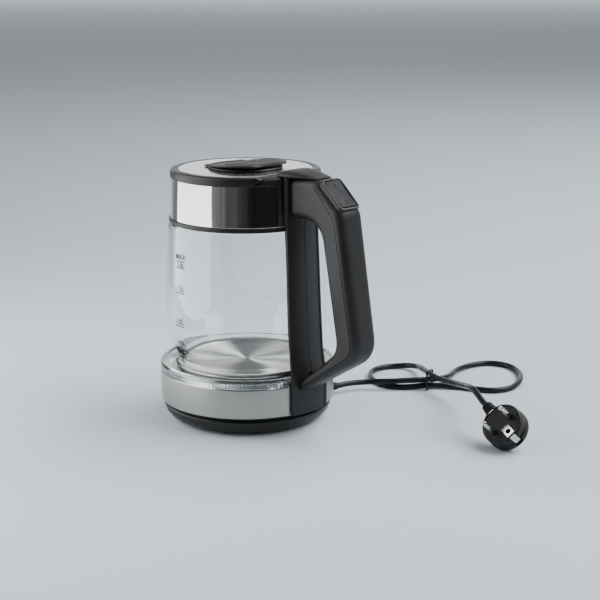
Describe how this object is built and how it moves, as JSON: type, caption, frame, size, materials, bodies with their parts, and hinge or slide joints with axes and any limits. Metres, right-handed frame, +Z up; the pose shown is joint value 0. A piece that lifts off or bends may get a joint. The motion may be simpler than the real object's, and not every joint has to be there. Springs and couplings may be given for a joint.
{
  "type": "electric kettle",
  "caption": "Cordless electric kettle with a glass jug, steel bands, hinged lid with a pull-up grip, loop handle with a rocker switch, and a round power base with its mains lead.",
  "frame": {"origin": "centre of the power base's underside, at the level of its plate", "axes": "+Z up along the kettle's axis, +X from the axis towards the handle, -X towards the spout"},
  "size_m": [0.3416, 0.369, 0.2382],
  "materials": {
    "black_plastic": "moulded, fine satin grain",
    "soft_black": "soft-touch matte",
    "mirror_steel": "polished stainless steel",
    "satin_steel": "brushed stainless steel",
    "glass": "clear polished",
    "clear_plastic": "clear, prismed",
    "rubber": "matte",
    "silicone": "translucent matte",
    "brass": "plain",
    "cord_pvc": "semi-gloss flexible PVC",
    "board_green": "lacquered circuit board"
  },
  "bodies": {
    "base": {"base_bottom_plate": "black_plastic", "base_foot_1": "rubber", "base_foot_2": "rubber", "base_foot_3": "rubber", "base_screw_1": "satin_steel", "base_screw_2": "satin_steel", "base_socket": "black_plastic", "base_top_cover": "black_plastic", "socket_contact_1": "brass", "socket_contact_2": "brass", "strain_relief": "cord_pvc", "power_cord": "cord_pvc", "cord_tie": "cord_pvc", "plug_body": "cord_pvc", "plug_pin_1": "satin_steel", "plug_pin_2": "satin_steel", "plug_earth_clip_1": "satin_steel", "plug_earth_clip_2": "satin_steel"},
    "connector": {"connector_pin": "brass", "connector_ring": "brass"},
    "jug": {"connector_housing": "black_plastic", "dry_boil_controller": "black_plastic", "dry_boil_disc": "brass", "filter_frame": "black_plastic", "filter_mesh": "satin_steel", "glass_jug": "glass", "handle_cap": "soft_black", "handle_inner_shell": "soft_black", "handle_outer_cover": "soft_black", "handle_screw_1": "satin_steel", "handle_screw_2": "satin_steel", "handle_spine": "black_plastic", "heating_element": "satin_steel", "heating_plate": "satin_steel", "hinge_pin": "satin_steel", "kettle_bottom_cover": "black_plastic", "led_board": "board_green", "light_ring": "clear_plastic", "lower_band": "satin_steel", "neck_liner": "black_plastic", "neck_ring": "black_plastic", "plate_seal": "silicone", "rear_rim": "black_plastic", "spout": "mirror_steel", "steam_cutout": "black_plastic", "steam_tube": "silicone", "switch_bezel": "black_plastic", "switch_lead": "cord_pvc", "upper_band": "mirror_steel", "upper_seal": "silicone"},
    "lid": {"lid_rim": "black_plastic", "lid_disc": "satin_steel", "lid_plug": "black_plastic", "lid_seal": "silicone", "knob_dish": "black_plastic", "latch_spring": "satin_steel"},
    "grip": {"lid_grip": "soft_black"},
    "latch": {"latch_bolt": "black_plastic"},
    "rocker": {"rocker_switch": "black_plastic"},
    "trip": {"trip_lever": "black_plastic"}
  },
  "joints": [
    {"name": "kettle_lift", "type": "slide", "parent": "base", "child": "connector", "axis": [0, 0, 1], "range_m": [0, 0.05]},
    {"name": "kettle_swivel", "type": "hinge", "parent": "connector", "child": "jug", "pos_m": [0, 0, 0.02], "axis": [0, 0, 1], "continuous": true},
    {"name": "lid_hinge", "type": "hinge", "parent": "jug", "child": "lid", "pos_m": [0.054, 0, 0.2282], "axis": [0, 1, 0], "range_deg": [0, 75]},
    {"name": "grip_pull", "type": "hinge", "parent": "lid", "child": "grip", "pos_m": [0.027, 0, 0.235], "axis": [0, 1, 0], "range_deg": [0, 10], "stiffness_Nm_per_rad": 0.1},
    {"name": "latch_slide", "type": "slide", "parent": "lid", "child": "latch", "axis": [1, 0, 0], "range_m": [0, 0.003]},
    {"name": "switch_rock", "type": "hinge", "parent": "jug", "child": "rocker", "pos_m": [0.11296, 0, 0.21644], "axis": [0, -1, 0], "range_deg": [0, 12]},
    {"name": "trip_turn", "type": "hinge", "parent": "jug", "child": "trip", "pos_m": [0.105, 0, 0.205], "axis": [0, 1, 0], "range_deg": [0, 8]}
  ],
  "couplings": [
    {"joint": "latch_slide", "follows": "grip_pull", "m_per_rad": 0.01718},
    {"joint": "trip_turn", "follows": "switch_rock", "ratio": 0.66}
  ]
}
